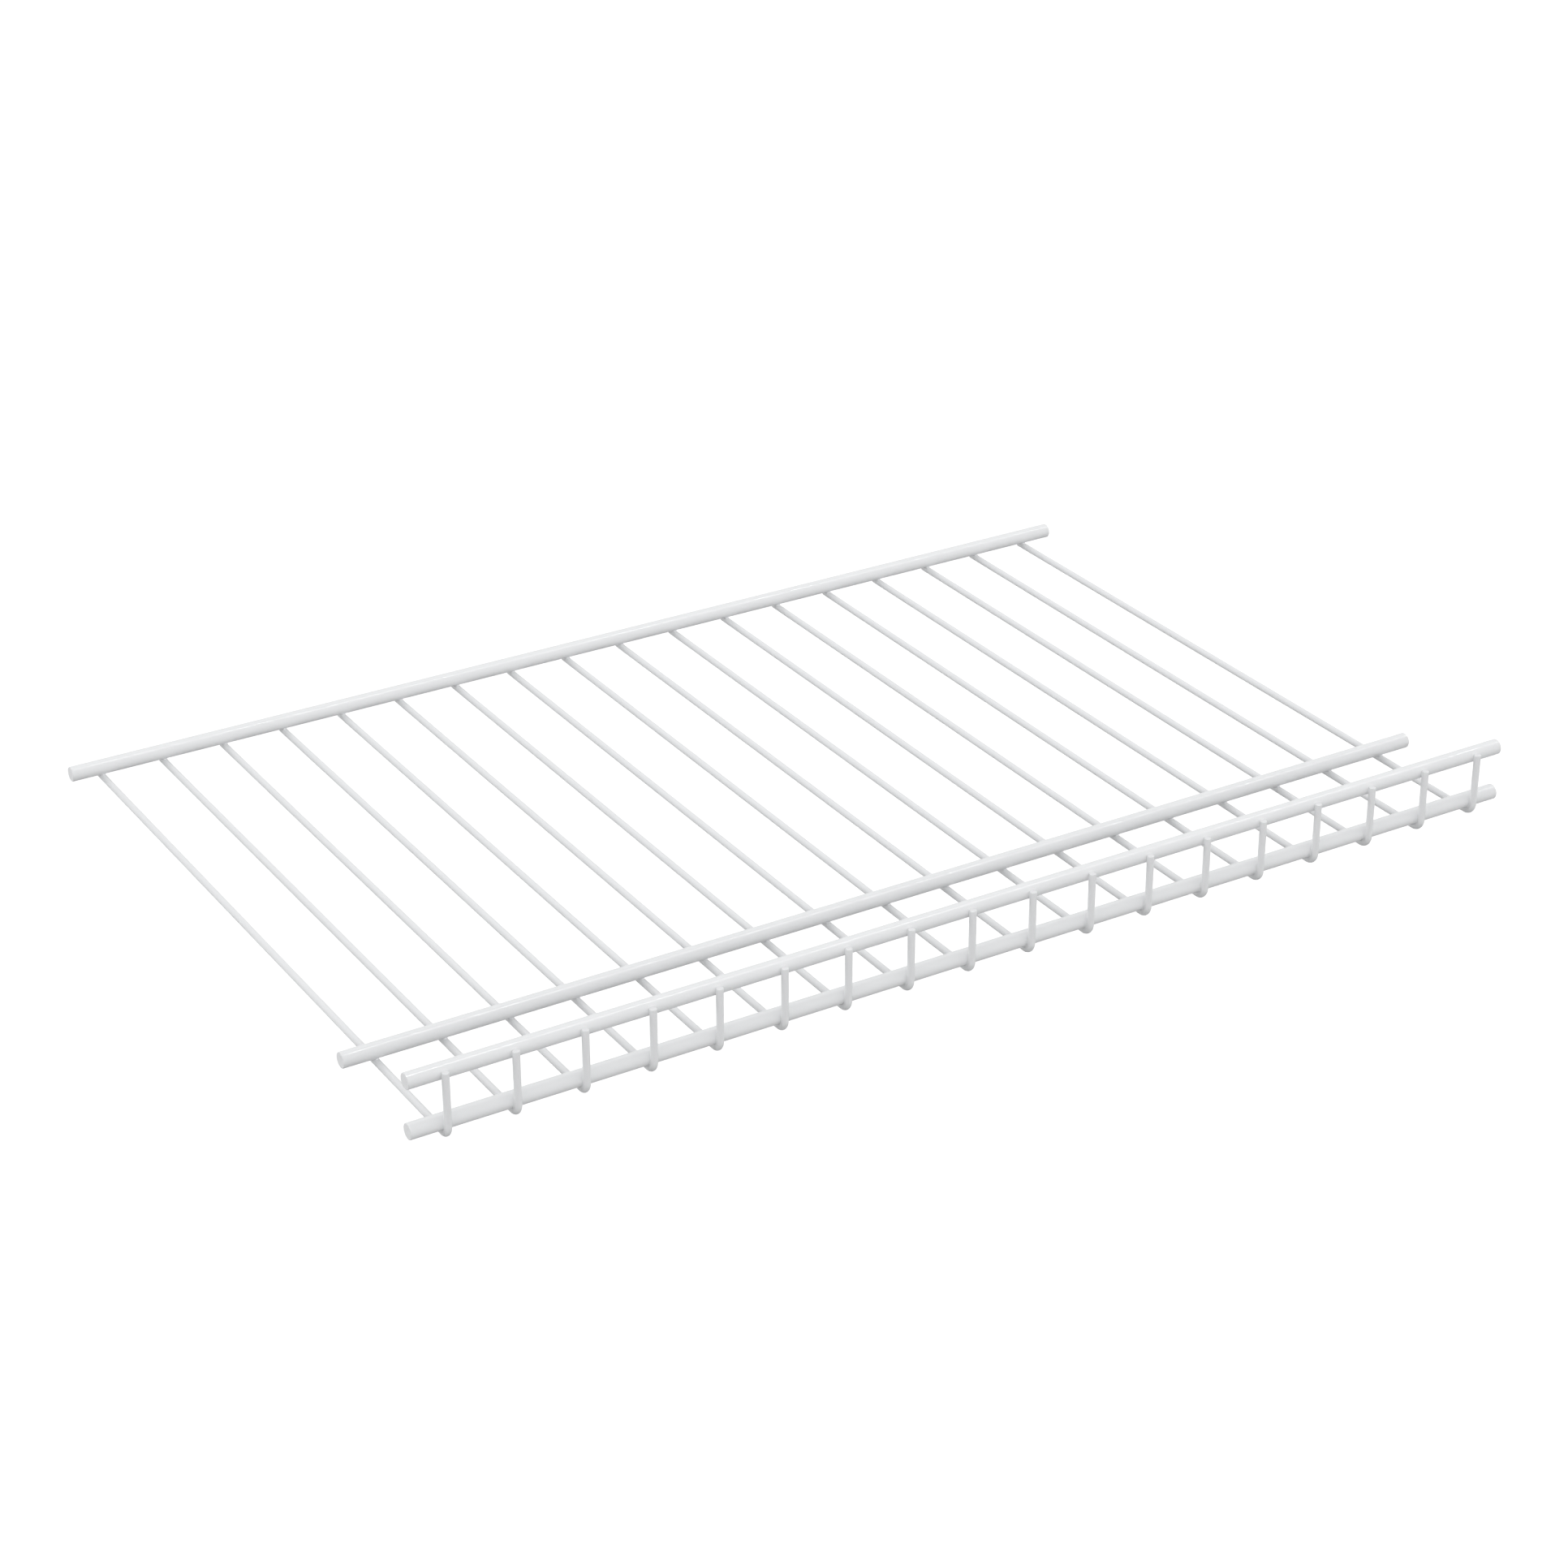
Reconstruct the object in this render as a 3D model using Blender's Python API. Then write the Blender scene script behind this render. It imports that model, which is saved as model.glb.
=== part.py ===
"""Ventilated wire shelf of a wall-mounted closet system.

Four thick rods run the length of the shelf. Thin cross wires at one pitch run under the back, middle and front
bottom rods, bend up round the front bottom rod and end in front of the front top rod, which makes the lip.
Every crossing is a weld: the wire is pressed a little way into the rod's outline, and seats there in a saddle.

Metres, +Z up. X runs along the rods, +Y points to the wall. The origin is at the middle of the shelf's footprint,
level with the undersides of the wires.
"""
import math

import bmesh
import bpy
from mathutils import Matrix, Vector

# Rods
ROD_LENGTH = 0.600
ROD_DIAMETER = 0.0077
ROD_EDGE_RADIUS = 0.0004        # the coat's rounding at a cut end

# Cross wires
WIRE_COUNT = 18
WIRE_DIAMETER = 0.0034
WIRE_EDGE_RADIUS = 0.0003       # the coat's rounding at a cut end
WIRE_TAIL = 0.0028              # rear end, measured back from the back rod's axis
WIRE_TIP_RISE = 0.0017          # cut top, measured up from the front top rod's axis

# Where the rods lie, axis to axis
DECK_DEPTH = 0.3867             # back rod to front bottom rod
MIDDLE_ROD_INSET = 0.0667       # front bottom rod back to middle rod
LIP_HEIGHT = 0.0250             # front bottom rod up to front top rod

# Welds
DECK_SET_DOWN = 0.0002          # how far a wire's outline reaches into a deck rod's
LIP_SET_DOWN = 0.0005           # the same in front of the two front rods, where the wires sit deeper
WELD_GAP = 0.0003               # room between a saddle and the rod that lies in it
CUTTER_OVERRUN = 0.0020         # how far a saddle cutter runs past the rods' ends

# Facets
ROD_SIDES = 32
WIRE_SIDES = 16
BEND_STEPS = ROD_SIDES // 4
EDGE_STEPS = 2
SHARP_ANGLE = math.radians(40)

# Finish: white powder coat
COAT_COLOUR = (0.83, 0.84, 0.85, 1.0)
COAT_ROUGHNESS = 0.38
COAT_METALLIC = 0.0

# Sizes that follow
ROD_RADIUS = ROD_DIAMETER / 2
WIRE_RADIUS = WIRE_DIAMETER / 2
WIRE_PITCH = ROD_LENGTH / WIRE_COUNT
DECK_DISTANCE = ROD_RADIUS + WIRE_RADIUS - DECK_SET_DOWN     # wire axis up to the deck rods' axes
LIP_DISTANCE = ROD_RADIUS + WIRE_RADIUS - LIP_SET_DOWN       # upright's axis back to the front rods' axes
BEND_RADIUS = LIP_DISTANCE                                   # a wire bends up from below the front rods' axes
REAR_REACH = max(ROD_RADIUS, WIRE_TAIL)                      # back rod's axis to the rearmost point
FRONT_REACH = LIP_DISTANCE + WIRE_RADIUS                     # front rods' axes to the foremost point

# Axes of the rods
BACK_Y = (DECK_DEPTH + FRONT_REACH - REAR_REACH) / 2
FRONT_Y = BACK_Y - DECK_DEPTH
MIDDLE_Y = FRONT_Y + MIDDLE_ROD_INSET
DECK_ROD_Z = WIRE_RADIUS + DECK_DISTANCE
LIP_ROD_Z = DECK_ROD_Z + LIP_HEIGHT

# Ends of a cross wire
BEND_Z = WIRE_RADIUS + BEND_RADIUS
WIRE_REAR_Y = BACK_Y + WIRE_TAIL
WIRE_TIP_Z = LIP_ROD_Z + WIRE_TIP_RISE

ROD_AXES = {
    "back_rod": (BACK_Y, DECK_ROD_Z),
    "middle_rod": (MIDDLE_Y, DECK_ROD_Z),
    "front_bottom_rod": (FRONT_Y, DECK_ROD_Z),
    "front_top_rod": (FRONT_Y, LIP_ROD_Z),
}


def clear_scene():
    for old in list(bpy.data.objects):
        bpy.data.objects.remove(old, do_unlink=True)


def add_object(name, mesh, parent=None):
    piece = bpy.data.objects.new(name, mesh)
    bpy.context.scene.collection.objects.link(piece)
    piece.parent = parent
    return piece


def shade(mesh):
    mesh.shade_smooth()
    mesh.set_sharp_from_angle(angle=SHARP_ANGLE)


def powder_coat(piece):
    """Give the piece a material of its own, kept on the object because copies share a mesh."""
    coat = bpy.data.materials.new(piece.name + "_coat")
    coat.use_nodes = True
    shader = coat.node_tree.nodes["Principled BSDF"]
    shader.inputs["Base Color"].default_value = COAT_COLOUR
    shader.inputs["Roughness"].default_value = COAT_ROUGHNESS
    shader.inputs["Metallic"].default_value = COAT_METALLIC
    if not piece.data.materials:
        piece.data.materials.append(None)
    piece.material_slots[0].link = "OBJECT"
    piece.material_slots[0].material = coat


def cylinder_along_x(bm, radius, length, centre=(0, 0, 0)):
    """Add a closed cylinder of ROD_SIDES sides whose axis runs along X."""
    lay_down = Matrix.Translation(centre) @ Matrix.Rotation(math.radians(90), 4, "Y")
    bmesh.ops.create_cone(
        bm, cap_ends=True, segments=ROD_SIDES, radius1=radius, radius2=radius, depth=length, matrix=lay_down
    )


def rod_mesh():
    """A straight rod, cut square, with the coat's small rounding at both ends."""
    bm = bmesh.new()
    cylinder_along_x(bm, ROD_RADIUS, ROD_LENGTH)
    rims = [edge for edge in bm.edges if edge.calc_face_angle() > SHARP_ANGLE]
    bmesh.ops.bevel(
        bm, geom=rims, offset=ROD_EDGE_RADIUS, segments=EDGE_STEPS, affect="EDGES", profile=0.5
    )
    mesh = bpy.data.meshes.new("rod")
    bm.to_mesh(mesh)
    bm.free()
    shade(mesh)
    return mesh


def extrude_ring(bm, ring, offset):
    """Draw a ring of edges out by an offset, and return the ring at the far end."""
    grown = bmesh.ops.extrude_edge_only(bm, edges=ring)["geom"]
    far_points = [item for item in grown if isinstance(item, bmesh.types.BMVert)]
    bmesh.ops.translate(bm, verts=far_points, vec=offset)
    return [edge for edge in grown if isinstance(edge, bmesh.types.BMEdge) and edge.is_boundary]


def wire_mesh():
    """One bent cross wire, about an origin at the centre of its bend.

    The round section starts at the rear end, runs forward under the deck rods, is spun a quarter turn round the
    front bottom rod and runs up to the tip.
    """
    bm = bmesh.new()
    rear_end = Vector((0, WIRE_REAR_Y - FRONT_Y, -BEND_RADIUS))
    face_forward = Matrix.Translation(rear_end) @ Matrix.Rotation(math.radians(90), 4, "X")
    bmesh.ops.create_circle(bm, segments=WIRE_SIDES, radius=WIRE_RADIUS, matrix=face_forward)

    ring = extrude_ring(bm, bm.edges[:], Vector((0, -rear_end.y, 0)))
    spun = bmesh.ops.spin(
        bm, geom=ring, cent=(0, 0, 0), axis=(1, 0, 0), angle=math.radians(-90), steps=BEND_STEPS
    )
    ring = [item for item in spun["geom_last"] if isinstance(item, bmesh.types.BMEdge)]
    extrude_ring(bm, ring, Vector((0, 0, WIRE_TIP_Z - BEND_Z)))

    open_edges = [edge for edge in bm.edges if edge.is_boundary]
    bmesh.ops.holes_fill(bm, edges=open_edges, sides=0)
    bmesh.ops.recalc_face_normals(bm, faces=bm.faces)
    bmesh.ops.bevel(
        bm, geom=open_edges, offset=WIRE_EDGE_RADIUS, segments=EDGE_STEPS, affect="EDGES", profile=0.5
    )
    mesh = bpy.data.meshes.new("cross_wire")
    bm.to_mesh(mesh)
    bm.free()
    shade(mesh)
    return mesh


def saddle_cutter(parent):
    """The four rods grown by the weld gap, which press the saddles into the wires."""
    bm = bmesh.new()
    for y, z in ROD_AXES.values():
        cylinder_along_x(bm, ROD_RADIUS + WELD_GAP, ROD_LENGTH + 2 * CUTTER_OVERRUN, (0, y, z))
    mesh = bpy.data.meshes.new("saddle_cutter")
    bm.to_mesh(mesh)
    bm.free()
    cutter = add_object("saddle_cutter", mesh, parent)
    cutter.hide_render = True
    cutter.display_type = "WIRE"
    return cutter


def add_rods(parent):
    mesh = rod_mesh()
    for name, (y, z) in ROD_AXES.items():
        rod = add_object(name, mesh, parent)
        rod.location = (0, y, z)
        powder_coat(rod)


def add_cross_wires(parent):
    mesh = wire_mesh()
    cutter = saddle_cutter(parent)
    first_x = (WIRE_PITCH - ROD_LENGTH) / 2
    for index in range(WIRE_COUNT):
        wire = add_object(f"cross_wire_{index + 1:02d}", mesh, parent)
        wire.location = (first_x + index * WIRE_PITCH, FRONT_Y, BEND_Z)
        saddles = wire.modifiers.new("weld_saddles", "BOOLEAN")
        saddles.operation = "DIFFERENCE"
        saddles.solver = "EXACT"
        saddles.object = cutter
        powder_coat(wire)


def main():
    clear_scene()
    shelf = add_object("wire_shelf", None)
    add_rods(shelf)
    add_cross_wires(shelf)


main()
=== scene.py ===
import math

import bmesh
import bpy
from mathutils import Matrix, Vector


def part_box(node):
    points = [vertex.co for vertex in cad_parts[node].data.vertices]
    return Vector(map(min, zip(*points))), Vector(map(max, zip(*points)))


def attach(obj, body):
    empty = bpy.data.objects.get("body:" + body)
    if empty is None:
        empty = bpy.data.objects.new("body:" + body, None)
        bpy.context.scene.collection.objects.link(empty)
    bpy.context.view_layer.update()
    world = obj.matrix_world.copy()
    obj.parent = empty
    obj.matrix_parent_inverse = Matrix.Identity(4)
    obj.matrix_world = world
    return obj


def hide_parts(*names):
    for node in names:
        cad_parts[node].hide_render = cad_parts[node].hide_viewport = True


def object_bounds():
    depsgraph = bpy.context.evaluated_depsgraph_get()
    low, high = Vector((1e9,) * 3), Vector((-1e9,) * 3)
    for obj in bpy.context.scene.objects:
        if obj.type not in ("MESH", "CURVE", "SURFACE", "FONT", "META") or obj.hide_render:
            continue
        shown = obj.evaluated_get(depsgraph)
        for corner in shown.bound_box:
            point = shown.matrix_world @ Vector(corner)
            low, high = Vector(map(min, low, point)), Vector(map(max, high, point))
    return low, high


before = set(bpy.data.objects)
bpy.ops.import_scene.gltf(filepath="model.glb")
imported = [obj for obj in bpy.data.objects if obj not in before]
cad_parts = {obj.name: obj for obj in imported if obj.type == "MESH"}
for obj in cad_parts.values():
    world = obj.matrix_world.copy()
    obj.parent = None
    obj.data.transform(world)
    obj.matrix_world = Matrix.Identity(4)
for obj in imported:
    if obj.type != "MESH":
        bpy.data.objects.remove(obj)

CAD_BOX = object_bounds()

# Cut ends
ROD_EDGE_RADIUS = 0.0004
WIRE_EDGE_RADIUS = 0.0003
EDGE_STEPS = 5
HOLD = 0.00004                  # a narrow band beside each curve keeps its shading off the straight

# Roundness
ROD_SIDES = 72
WIRE_SIDES = 40
BEND_STEPS = 18
SHARP_ANGLE = math.radians(50)
QUARTER_TURN = math.radians(90)

# Coat at the welds
FILLET_RADIUS = 0.00035
FILLET_DEPTH = 0.00015          # how far the fillet's body reaches into the metal behind its face
FILLET_STEPS = 6                # across the hollow
FILLET_TURNS = 48               # round the weld
TOP_CLEARANCE = 0.0003          # the lip's fillets end this far below a wire's cut tip
TOP_TURN = math.radians(84)     # how much of a half loop the lip's fillets take on each side
SEARCH_SWING = math.radians(120)
SEARCH_HALVINGS = 40
# Where the wire touches a rod, as an angle round the rod's axis from +Y towards +Z
BELOW = math.radians(-90)
BELOW_IN_FRONT = math.radians(-135)
IN_FRONT = math.radians(180)

# Powder coat
COAT_COLOUR = (0.834, 0.842, 0.850, 1.0)
COAT_THIN_COLOUR = (0.819, 0.827, 0.837, 1.0)
COAT_SPECULAR = 0.02
COAT_ROUGHNESS = 0.35
COAT_ROUGHNESS_SPREAD = 0.10
ROD_SKIN_WEIGHT = 0.12          # the glossy skin that the coat flows out to in the oven
WIRE_SKIN_WEIGHT = 0.04         # weaker, as the wires show no highlight and would bleach seen from above
SKIN_IOR = 3.0                  # high, so that a thin share of gloss is even from the middle to the outline
SKIN_ROUGHNESS = 0.09
ROD_PEEL_SIZE = 0.0016          # one hump of the orange peel
WIRE_PEEL_SIZE = 0.0011
PEEL_HEIGHT = 0.000004
PEEL_DETAIL = 1
GRAIN_SIZE = 0.00022
GRAIN_HEIGHT = 0.0000012
GRAIN_DETAIL = 0
CLOUD_SIZE = 0.030              # slow change in the coat's thickness
CLOUD_DETAIL = 3

# Studio
WHITE = (1.0, 1.0, 1.0, 1.0)
FLOOR_DROP = 1.0                # the shelf hangs on a wall, so the floor lies this far below it
FLOOR_SIZE = 80.0
FLOOR_COLOUR = (0.215, 0.215, 0.215, 1.0)
FLOOR_SEEN_GLOW = 0.12          # lifts the floor to white where it is seen
SKY_LEVEL = 1.44                # radiance from the horizon up, where 1 is white
SKY_FADE = 0.5                  # height, as a share of the zenith's, from which the sky dims
SKY_ZENITH_LEVEL = 0.32
BACKDROP_LEVEL = 1.0            # the sky as it is seen
LAMP_HEIGHT = 3.0
STRIP_SIZE = (8.0, 0.30)
STRIP_Y = -0.3
STRIP_LEVEL = 14.5              # a lamp's level is its radiance, where 1 is white
PANEL_SIZE = (8.0, 3.0)
PANEL_Y = 2.5
PANEL_LEVEL = 0.9

# Camera
CAMERA_PLACE = (-0.81747, -1.34655, 0.81940)
CAMERA_PITCH = math.radians(62.717)
CAMERA_HEADING = math.radians(-31.348)
CAMERA_LENS_MM = 81.084
CAMERA_SENSOR_MM = 36.0

RODS = ("back_rod", "middle_rod", "front_bottom_rod", "front_top_rod")
WIRES = tuple(sorted(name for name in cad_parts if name.startswith("cross_wire_")))


def rod_axis(node):
    """A rod's axis in the YZ plane."""
    low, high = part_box(node)
    return Vector(((low.y + high.y) / 2, (low.z + high.z) / 2))


ROD_LOW, ROD_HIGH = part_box("front_top_rod")
ROD_RADIUS = (ROD_HIGH.z - ROD_LOW.z) / 2
WIRE_LOW, WIRE_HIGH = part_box(WIRES[0])
WIRE_RADIUS = (WIRE_HIGH.x - WIRE_LOW.x) / 2
DECK_Z = WIRE_LOW.z + WIRE_RADIUS               # axis of a wire's deck stretch
UPRIGHT_Y = WIRE_LOW.y + WIRE_RADIUS            # axis of its upright
BEND_Y = rod_axis("front_bottom_rod").x
BEND_RADIUS = BEND_Y - UPRIGHT_Y
BEND_Z = DECK_Z + BEND_RADIUS
FLOOR_Z = CAD_BOX[0].z - FLOOR_DROP


def loft(bm, rings, closed=False):
    """Skin a run of point rings with quads. A closed run joins up with itself, an open one gets ends."""
    made = [[bm.verts.new(point) for point in points] for points in rings]
    pairs = list(zip(made, made[1:]))
    if closed:
        pairs.append((made[-1], made[0]))
    else:
        bm.faces.new(reversed(made[0]))
        bm.faces.new(made[-1])
    for current, following in pairs:
        for i, corner in enumerate(current):
            j = (i + 1) % len(current)
            bm.faces.new((corner, current[j], following[j], following[i]))


def ring(centre, along, side, radius, count):
    """Points of a circle square to a heading."""
    up = along.cross(side)
    angles = (math.tau * i / count for i in range(count))
    return [centre + radius * (math.cos(a) * side + math.sin(a) * up) for a in angles]


def end_rings(radius, edge_radius):
    """Inset and radius of each ring over a cut end, from its flat face out to the full section."""
    rings = [(0.0, radius - edge_radius - HOLD)]
    for step in range(EDGE_STEPS + 1):
        angle = QUARTER_TURN * step / EDGE_STEPS
        rings.append((edge_radius * (1 - math.cos(angle)), radius - edge_radius * (1 - math.sin(angle))))
    rings.append((edge_radius + HOLD, radius))
    return rings


def tube(bm, path, side, radius, edge_radius, count):
    """Sweep a round section along a path of (point, heading), with the coat rounded over both cut ends."""
    (start, start_heading), (end, end_heading) = path[0], path[-1]
    ends = end_rings(radius, edge_radius)
    rings = [ring(start + start_heading * inset, start_heading, side, r, count) for inset, r in ends]
    rings += [ring(point, heading, side, radius, count) for point, heading in path[1:-1]]
    rings += [ring(end - end_heading * inset, end_heading, side, r, count) for inset, r in reversed(ends)]
    loft(bm, rings)


def rod_path(node):
    """A rod's axis from its left to its right end."""
    low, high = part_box(node)
    y, z = rod_axis(node)
    heading = Vector((1, 0, 0))
    return [(Vector((low.x, y, z)), heading), (Vector((high.x, y, z)), heading)]


def wire_path(node):
    """A wire's axis: forward under the deck rods, a quarter turn round the front bottom rod, then up."""
    low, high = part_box(node)
    x = (low.x + high.x) / 2
    forward, upward = Vector((0, -1, 0)), Vector((0, 0, 1))
    path = [(Vector((x, high.y, DECK_Z)), forward), (Vector((x, BEND_Y + HOLD, DECK_Z)), forward)]
    for step in range(BEND_STEPS + 1):
        turn = QUARTER_TURN * step / BEND_STEPS
        point = Vector((x, BEND_Y - BEND_RADIUS * math.sin(turn), BEND_Z - BEND_RADIUS * math.cos(turn)))
        path.append((point, math.cos(turn) * forward + math.sin(turn) * upward))
    path.append((Vector((x, UPRIGHT_Y, BEND_Z + HOLD)), upward))
    path.append((Vector((x, UPRIGHT_Y, high.z)), upward))
    return path


def nearest_on_wire(point):
    """Nearest point of a wire's axis to a point of the YZ plane."""
    y, z = point
    if y >= BEND_Y:
        return Vector((y, DECK_Z))
    if z >= BEND_Z:
        return Vector((UPRIGHT_Y, z))
    bend_centre = Vector((BEND_Y, BEND_Z))
    return bend_centre + BEND_RADIUS * (point - bend_centre).normalized()


def ball_centre(axis, angle, radius):
    """Where a ball that rolls on a rod lies in the YZ plane, and its offset from the wire's axis there."""
    centre = axis + (ROD_RADIUS + radius) * Vector((math.cos(angle), math.sin(angle)))
    return centre, nearest_on_wire(centre) - centre


def fillet_limit(axis, inside, outside):
    """Angle round a rod where the rolling ball last reaches the wire, found by halving."""
    for _ in range(SEARCH_HALVINGS):
        middle = (inside + outside) / 2
        _, offset = ball_centre(axis, middle, FILLET_RADIUS)
        if offset.length < WIRE_RADIUS + FILLET_RADIUS:
            inside = middle
        else:
            outside = middle
    return inside


def fillet_section(x, axis, angle, radius, sign):
    """Section of the coat's hollow: an arc that touches rod and wire, backed by an arc inside the metal."""
    centre, offset = ball_centre(axis, angle, radius)
    reach = WIRE_RADIUS + radius
    aside = sign * math.sqrt(max(0.0, reach ** 2 - offset.length ** 2))
    ball = Vector((x + aside, centre.x, centre.y))
    to_rod = Vector((0, -math.cos(angle), -math.sin(angle)))
    to_wire = Vector((-aside, offset.x, offset.y)).normalized()
    ways = [to_rod.slerp(to_wire, step / FILLET_STEPS) for step in range(FILLET_STEPS + 1)]
    front = [ball + way * radius for way in ways]
    back = [ball + way * (radius + FILLET_DEPTH) for way in reversed(ways)]
    return front + back


def crossing_fillet(bm, x, axis, contact):
    """The closed fillet round a weld whose middle lies at the contact angle."""
    low = fillet_limit(axis, contact, contact - SEARCH_SWING)
    high = fillet_limit(axis, contact, contact + SEARCH_SWING)
    middle, swing = (low + high) / 2, (high - low) / 2
    sections = []
    for i in range(FILLET_TURNS):
        turn = math.tau * (i + 0.5) / FILLET_TURNS
        angle = middle + swing * math.cos(turn)
        sections.append(fillet_section(x, axis, angle, FILLET_RADIUS, math.copysign(1, math.sin(turn))))
    loft(bm, sections, closed=True)


def lip_fillet(bm, x, axis, tip_z):
    """The open fillet at the front top rod, which fades out on both sides below the wire's cut tip."""
    top = IN_FRONT - math.asin((tip_z - TOP_CLEARANCE - axis.y) / (ROD_RADIUS + FILLET_RADIUS))
    bottom = fillet_limit(axis, IN_FRONT, IN_FRONT + SEARCH_SWING)
    sections = []
    for i in range(FILLET_TURNS + 1):
        turn = TOP_TURN * (2 * i / FILLET_TURNS - 1)
        angle = top + (bottom - top) * math.cos(turn)
        radius = FILLET_RADIUS * math.sqrt(math.cos(turn))
        sections.append(fillet_section(x, axis, angle, radius, math.copysign(1, turn)))
    loft(bm, sections)


def finish_piece(name, bm, coat, node=None):
    """Turn a mesh into a shown piece of the shelf."""
    bmesh.ops.recalc_face_normals(bm, faces=bm.faces)
    mesh = bpy.data.meshes.new(name)
    bm.to_mesh(mesh)
    bm.free()
    mesh.shade_smooth()
    mesh.set_sharp_from_angle(angle=SHARP_ANGLE)
    mesh.materials.append(coat)
    piece = bpy.data.objects.new(name, mesh)
    bpy.context.scene.collection.objects.link(piece)
    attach(piece, "root")
    if node:
        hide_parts(node)


def noise(nodes, links, coordinates, size, detail, label):
    """Noise of a given grain size."""
    texture = nodes.new("ShaderNodeTexNoise")
    texture.label = label
    texture.inputs["Scale"].default_value = 1 / size
    texture.inputs["Detail"].default_value = detail
    links.new(coordinates, texture.inputs["Vector"])
    return texture.outputs["Fac"]


def bump(nodes, links, height, distance, below=None):
    """Relief of a given height, on top of any relief below it."""
    node = nodes.new("ShaderNodeBump")
    node.inputs["Distance"].default_value = distance
    links.new(height, node.inputs["Height"])
    if below:
        links.new(below, node.inputs["Normal"])
    return node.outputs["Normal"]


def powder_coat(name, peel_size, skin_weight):
    """White powder coat: orange peel in relief and gloss, fine grain, and a slow drift in tone."""
    coat = bpy.data.materials.new(name)
    coat.use_nodes = True
    nodes, links = coat.node_tree.nodes, coat.node_tree.links
    shader = nodes["Principled BSDF"]
    shader.inputs["Specular IOR Level"].default_value = COAT_SPECULAR
    shader.inputs["Coat Weight"].default_value = skin_weight
    shader.inputs["Coat IOR"].default_value = SKIN_IOR
    shader.inputs["Coat Roughness"].default_value = SKIN_ROUGHNESS
    place = nodes.new("ShaderNodeTexCoord").outputs["Object"]

    cloud = noise(nodes, links, place, CLOUD_SIZE, CLOUD_DETAIL, "coat thickness")
    colour = nodes.new("ShaderNodeMix")
    colour.data_type = "RGBA"
    colour.inputs["A"].default_value = COAT_THIN_COLOUR
    colour.inputs["B"].default_value = COAT_COLOUR
    links.new(cloud, colour.inputs["Factor"])
    links.new(colour.outputs["Result"], shader.inputs["Base Color"])

    peel = noise(nodes, links, place, peel_size, PEEL_DETAIL, "orange peel")
    gloss = nodes.new("ShaderNodeMapRange")
    gloss.inputs["To Min"].default_value = COAT_ROUGHNESS - COAT_ROUGHNESS_SPREAD / 2
    gloss.inputs["To Max"].default_value = COAT_ROUGHNESS + COAT_ROUGHNESS_SPREAD / 2
    links.new(peel, gloss.inputs["Value"])
    links.new(gloss.outputs["Result"], shader.inputs["Roughness"])

    grain = noise(nodes, links, place, GRAIN_SIZE, GRAIN_DETAIL, "grain")
    relief = bump(nodes, links, peel, PEEL_HEIGHT)
    relief = bump(nodes, links, grain, GRAIN_HEIGHT, relief)
    links.new(relief, shader.inputs["Normal"])
    links.new(relief, shader.inputs["Coat Normal"])
    return coat


def seen_rays(nodes, links):
    """1 for rays that show the background: those from the camera, and those through gloss or glass."""
    path = nodes.new("ShaderNodeLightPath")
    seen = path.outputs["Is Camera Ray"]
    for name in ("Is Glossy Ray", "Is Transmission Ray"):
        either = nodes.new("ShaderNodeMath")
        either.operation = "MAXIMUM"
        links.new(seen, either.inputs[0])
        links.new(path.outputs[name], either.inputs[1])
        seen = either.outputs["Value"]
    return seen


def floor_paint():
    """Grey paint that is white where it is seen, and still takes the shelf's shadow."""
    paint = bpy.data.materials.new("floor_paint")
    paint.use_nodes = True
    nodes, links = paint.node_tree.nodes, paint.node_tree.links
    nodes.clear()
    seen = seen_rays(nodes, links)
    colour = nodes.new("ShaderNodeMix")
    colour.data_type = "RGBA"
    colour.inputs["A"].default_value = FLOOR_COLOUR
    colour.inputs["B"].default_value = WHITE
    links.new(seen, colour.inputs["Factor"])
    matt = nodes.new("ShaderNodeBsdfDiffuse")
    links.new(colour.outputs["Result"], matt.inputs["Color"])
    level = nodes.new("ShaderNodeMath")
    level.operation = "MULTIPLY"
    level.inputs[1].default_value = FLOOR_SEEN_GLOW
    links.new(seen, level.inputs[0])
    glow = nodes.new("ShaderNodeEmission")
    links.new(level.outputs["Value"], glow.inputs["Strength"])
    both = nodes.new("ShaderNodeAddShader")
    links.new(matt.outputs["BSDF"], both.inputs[0])
    links.new(glow.outputs["Emission"], both.inputs[1])
    output = nodes.new("ShaderNodeOutputMaterial")
    links.new(both.outputs["Shader"], output.inputs["Surface"])
    return paint


def add_floor():
    """A wide floor below the shelf."""
    bm = bmesh.new()
    half = FLOOR_SIZE / 2
    corners = ((-half, -half), (half, -half), (half, half), (-half, half))
    bm.faces.new([bm.verts.new((x, y, FLOOR_Z)) for x, y in corners])
    mesh = bpy.data.meshes.new("studio_floor")
    bm.to_mesh(mesh)
    bm.free()
    mesh.materials.append(floor_paint())
    floor = bpy.data.objects.new("studio_floor", mesh)
    bpy.context.scene.collection.objects.link(floor)


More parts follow.
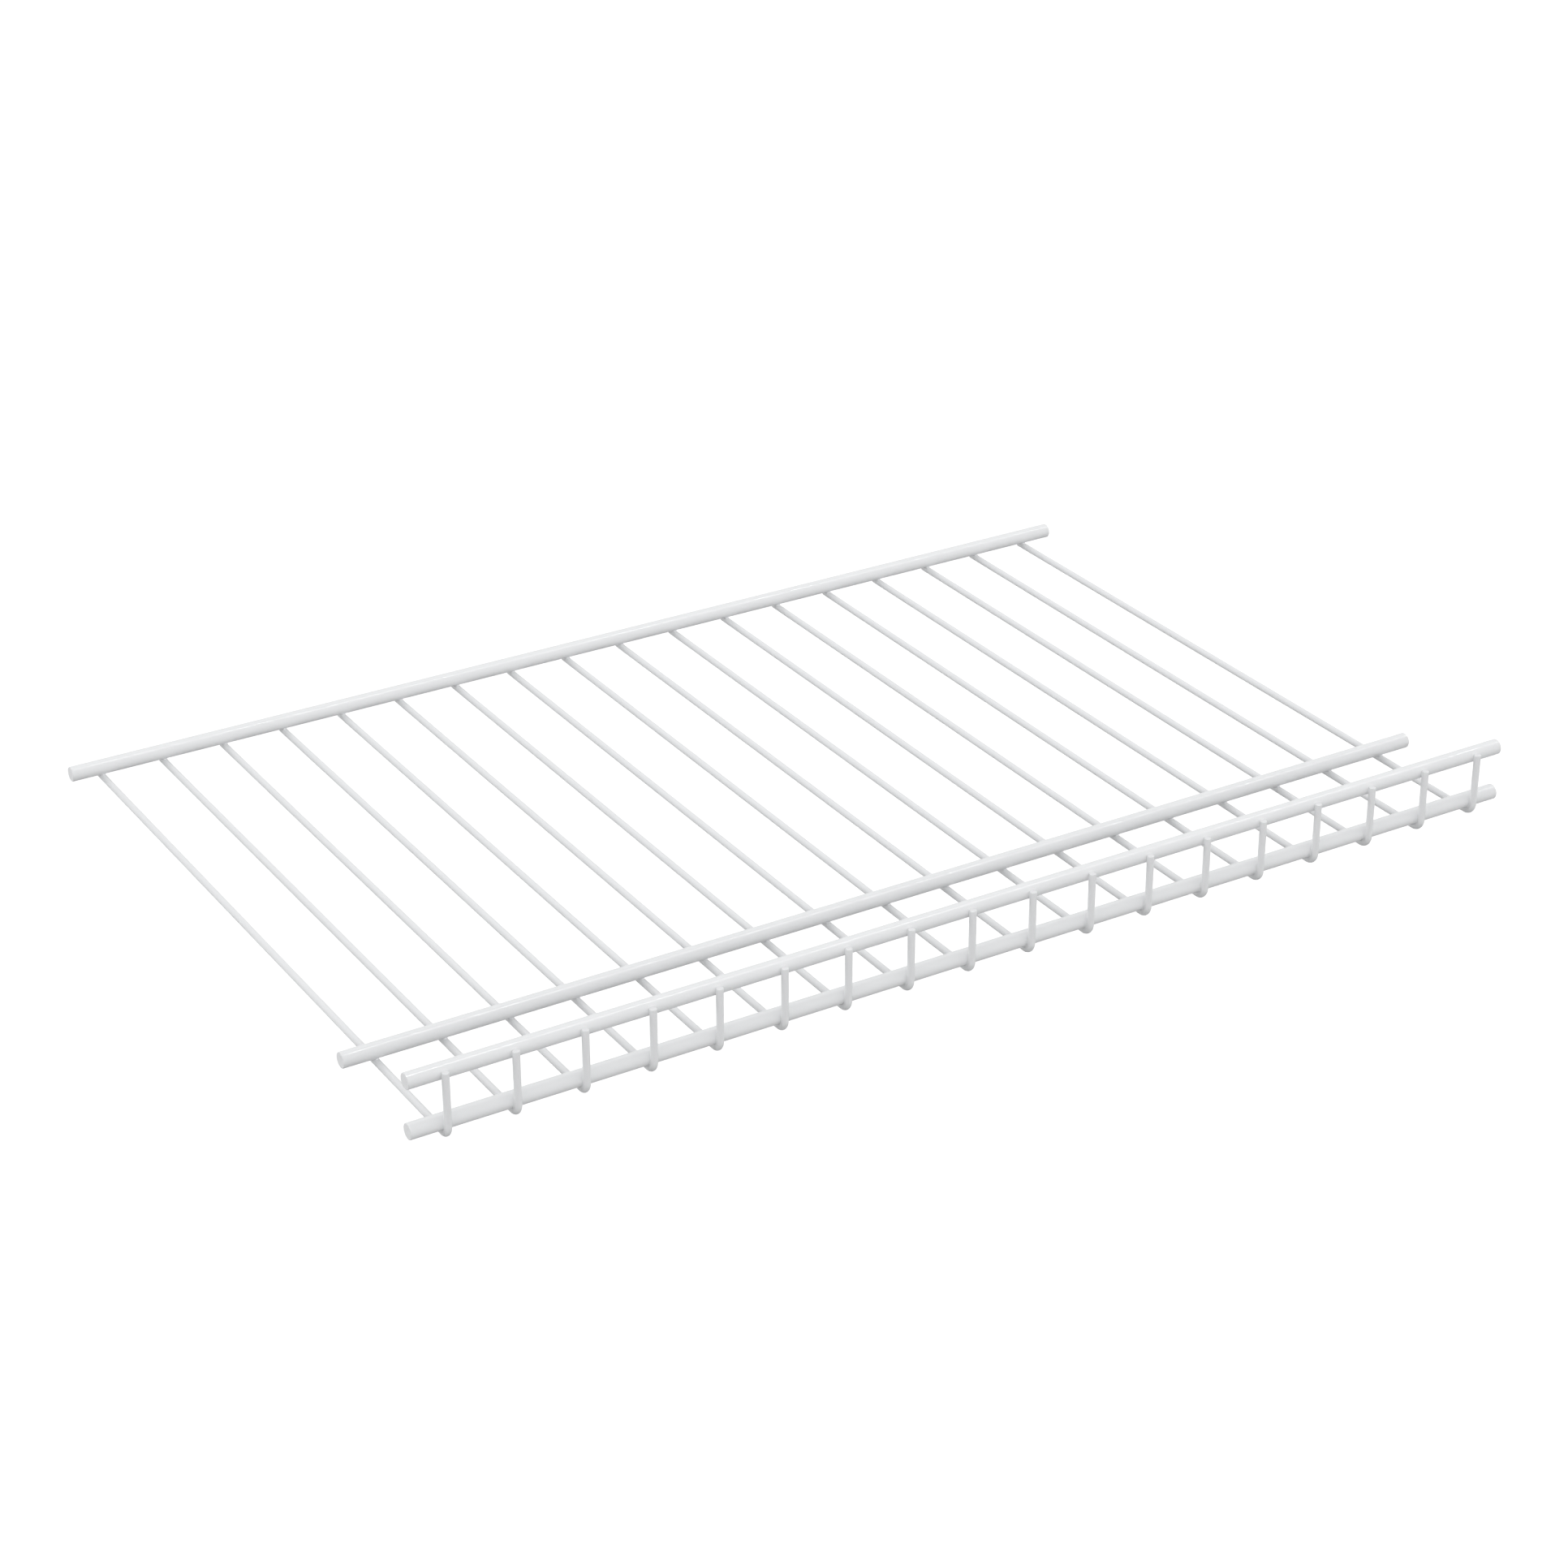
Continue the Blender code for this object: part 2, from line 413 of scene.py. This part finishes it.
def add_sky():
    """Soft light from all round that dims towards the zenith, behind a white backdrop."""
    world = bpy.data.worlds.new("studio")
    bpy.context.scene.world = world
    world.use_nodes = True
    nodes, links = world.node_tree.nodes, world.node_tree.links
    nodes.clear()
    way = nodes.new("ShaderNodeSeparateXYZ")
    links.new(nodes.new("ShaderNodeTexCoord").outputs["Generated"], way.inputs["Vector"])
    level = nodes.new("ShaderNodeMapRange")
    level.inputs["From Min"].default_value = SKY_FADE
    level.inputs["To Min"].default_value = SKY_LEVEL
    level.inputs["To Max"].default_value = SKY_ZENITH_LEVEL
    links.new(way.outputs["Z"], level.inputs["Value"])
    sky = nodes.new("ShaderNodeBackground")
    sky.inputs["Color"].default_value = WHITE
    links.new(level.outputs["Result"], sky.inputs["Strength"])
    backdrop = nodes.new("ShaderNodeBackground")
    backdrop.inputs["Color"].default_value = WHITE
    backdrop.inputs["Strength"].default_value = BACKDROP_LEVEL
    mix = nodes.new("ShaderNodeMixShader")
    links.new(seen_rays(nodes, links), mix.inputs["Fac"])
    links.new(sky.outputs["Background"], mix.inputs[1])
    links.new(backdrop.outputs["Background"], mix.inputs[2])
    output = nodes.new("ShaderNodeOutputWorld")
    links.new(mix.outputs["Shader"], output.inputs["Surface"])


def add_lamp(name, size, y, level):
    """A flat lamp overhead that shows only in gloss; its level is its radiance."""
    width, depth = size
    lamp = bpy.data.lights.new(name, "AREA")
    lamp.shape = "RECTANGLE"
    lamp.size = width
    lamp.size_y = depth
    lamp.energy = level * width * depth * math.pi
    piece = bpy.data.objects.new(name, lamp)
    piece.location = (0, y, LAMP_HEIGHT)
    piece.visible_camera = False
    piece.visible_diffuse = False
    bpy.context.scene.collection.objects.link(piece)


def add_camera():
    lens = bpy.data.cameras.new("camera")
    lens.lens = CAMERA_LENS_MM
    lens.sensor_width = CAMERA_SENSOR_MM
    camera = bpy.data.objects.new("camera", lens)
    camera.location = CAMERA_PLACE
    camera.rotation_euler = (CAMERA_PITCH, 0, CAMERA_HEADING)
    bpy.context.scene.collection.objects.link(camera)
    bpy.context.scene.camera = camera


def add_rods(coat):
    for node in RODS:
        bm = bmesh.new()
        tube(bm, rod_path(node), Vector((0, 1, 0)), ROD_RADIUS, ROD_EDGE_RADIUS, ROD_SIDES)
        finish_piece("coated_" + node, bm, coat, node)


def add_wires(coat):
    for node in WIRES:
        bm = bmesh.new()
        tube(bm, wire_path(node), Vector((1, 0, 0)), WIRE_RADIUS, WIRE_EDGE_RADIUS, WIRE_SIDES)
        finish_piece("coated_" + node, bm, coat, node)


def add_weld_fillets(coat):
    """One piece for each wire, with the fillets at its four welds."""
    contacts = (("back_rod", BELOW), ("middle_rod", BELOW), ("front_bottom_rod", BELOW_IN_FRONT))
    for node in WIRES:
        low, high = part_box(node)
        x = (low.x + high.x) / 2
        bm = bmesh.new()
        for rod, contact in contacts:
            crossing_fillet(bm, x, rod_axis(rod), contact)
        lip_fillet(bm, x, rod_axis("front_top_rod"), high.z)
        finish_piece(node.replace("cross_wire", "weld_fillets"), bm, coat)


def main():
    rod_coat = powder_coat("rod_powder_coat", ROD_PEEL_SIZE, ROD_SKIN_WEIGHT)
    wire_coat = powder_coat("wire_powder_coat", WIRE_PEEL_SIZE, WIRE_SKIN_WEIGHT)
    add_rods(rod_coat)
    add_wires(wire_coat)
    add_weld_fillets(wire_coat)
    add_floor()
    add_sky()
    add_lamp("overhead_strip", STRIP_SIZE, STRIP_Y, STRIP_LEVEL)
    add_lamp("rear_panel", PANEL_SIZE, PANEL_Y, PANEL_LEVEL)
    add_camera()
    bpy.context.scene.view_settings.view_transform = "Standard"


main()
